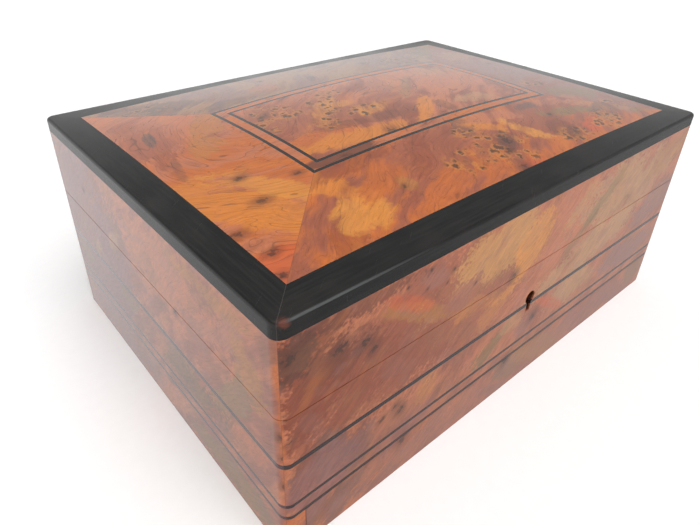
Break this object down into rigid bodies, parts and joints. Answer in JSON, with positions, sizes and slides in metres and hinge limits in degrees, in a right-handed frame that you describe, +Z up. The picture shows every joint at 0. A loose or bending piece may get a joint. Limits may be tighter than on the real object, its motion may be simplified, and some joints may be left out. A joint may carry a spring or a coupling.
{
  "type": "inlaid wooden box with hidden key",
  "caption": "Rectangular lidded box with a domed top, black edging and stringing, a front lock, rear hinges and two sliding base strips that cover a key pocket.",
  "frame": {"origin": "centre of the flat underside, on the surface the box stands on", "axes": "+X along the length to the right, the front with the keyhole faces -Y, +Z up through the lid"},
  "size_m": [0.25, 0.1864, 0.11],
  "materials": {
    "burl_sides": "high-gloss varnish over reddish-brown burl with diagonal figure",
    "burl_top": "high-gloss varnish over orange burl with bird's-eye clusters",
    "ebony": "polished near-black ebony",
    "core_wood": "plain pale wood, oiled",
    "felt": "dark red felt",
    "brass": "polished, lightly tarnished brass",
    "key_brass": "cast brass, worn",
    "steel": "bright steel"
  },
  "bodies": {
    "box": {"front_wall": "burl_sides", "right_wall": "burl_sides", "back_wall": "burl_sides", "left_wall": "burl_sides", "waist_line_front": "ebony", "waist_line_right": "ebony", "waist_line_back": "ebony", "waist_line_left": "ebony", "upper_base_line_front": "ebony", "upper_base_line_right": "ebony", "upper_base_line_back": "ebony", "upper_base_line_left": "ebony", "lower_base_line_front": "ebony", "lower_base_line_right": "ebony", "lower_base_line_back": "ebony", "lower_base_line_left": "ebony", "base_board": "core_wood", "left_base_strip": "burl_sides", "back_base_strip": "burl_sides", "floor_panel": "core_wood", "floor_felt": "felt", "key": "key_brass", "stop_screws": "steel", "lock_case": "brass", "lock_spring": "steel", "lock_drill_pin": "brass", "lock_screws": "steel", "hinge_box_leaves": "brass", "hinge_pins": "steel", "hinge_box_screws": "steel"},
    "lid": {"lid_front_rail": "burl_sides", "lid_right_rail": "burl_sides", "lid_back_rail": "burl_sides", "lid_left_rail": "burl_sides", "lid_border_front": "ebony", "lid_border_right": "ebony", "lid_border_back": "ebony", "lid_border_left": "ebony", "lid_field_front": "burl_top", "lid_field_right": "burl_top", "lid_field_back": "burl_top", "lid_field_left": "burl_top", "outer_stringing_front": "ebony", "outer_stringing_right": "ebony", "outer_stringing_back": "ebony", "outer_stringing_left": "ebony", "inlay_band": "burl_top", "inner_stringing": "ebony", "lid_centre_panel": "burl_top", "lid_top_panel": "core_wood", "lid_lining": "felt", "strike_plate": "brass", "strike_screws": "steel", "hinge_lid_leaves": "brass", "hinge_lid_screws": "steel"},
    "front_strip": {"front_base_strip": "burl_sides"},
    "end_strip": {"end_base_strip": "burl_sides"},
    "bolt": {"lock_bolt": "steel"}
  },
  "joints": [
    {"name": "lid_hinge", "type": "hinge", "parent": "box", "child": "lid", "pos_m": [0, 0.0922, 0.06535], "axis": [-1, 0, 0], "range_deg": [0, 95]},
    {"name": "front_strip_slide", "type": "slide", "parent": "box", "child": "front_strip", "axis": [1, 0, 0], "range_m": [0, 0.0075]},
    {"name": "end_strip_slide", "type": "slide", "parent": "box", "child": "end_strip", "axis": [0, 1, 0], "range_m": [0, 0.0075]},
    {"name": "bolt_slide", "type": "slide", "parent": "box", "child": "bolt", "axis": [1, 0, 0], "range_m": [0, 0.004]}
  ],
  "couplings": [
    {"joint": "end_strip_slide", "follows": "front_strip_slide", "ratio": 1}
  ]
}
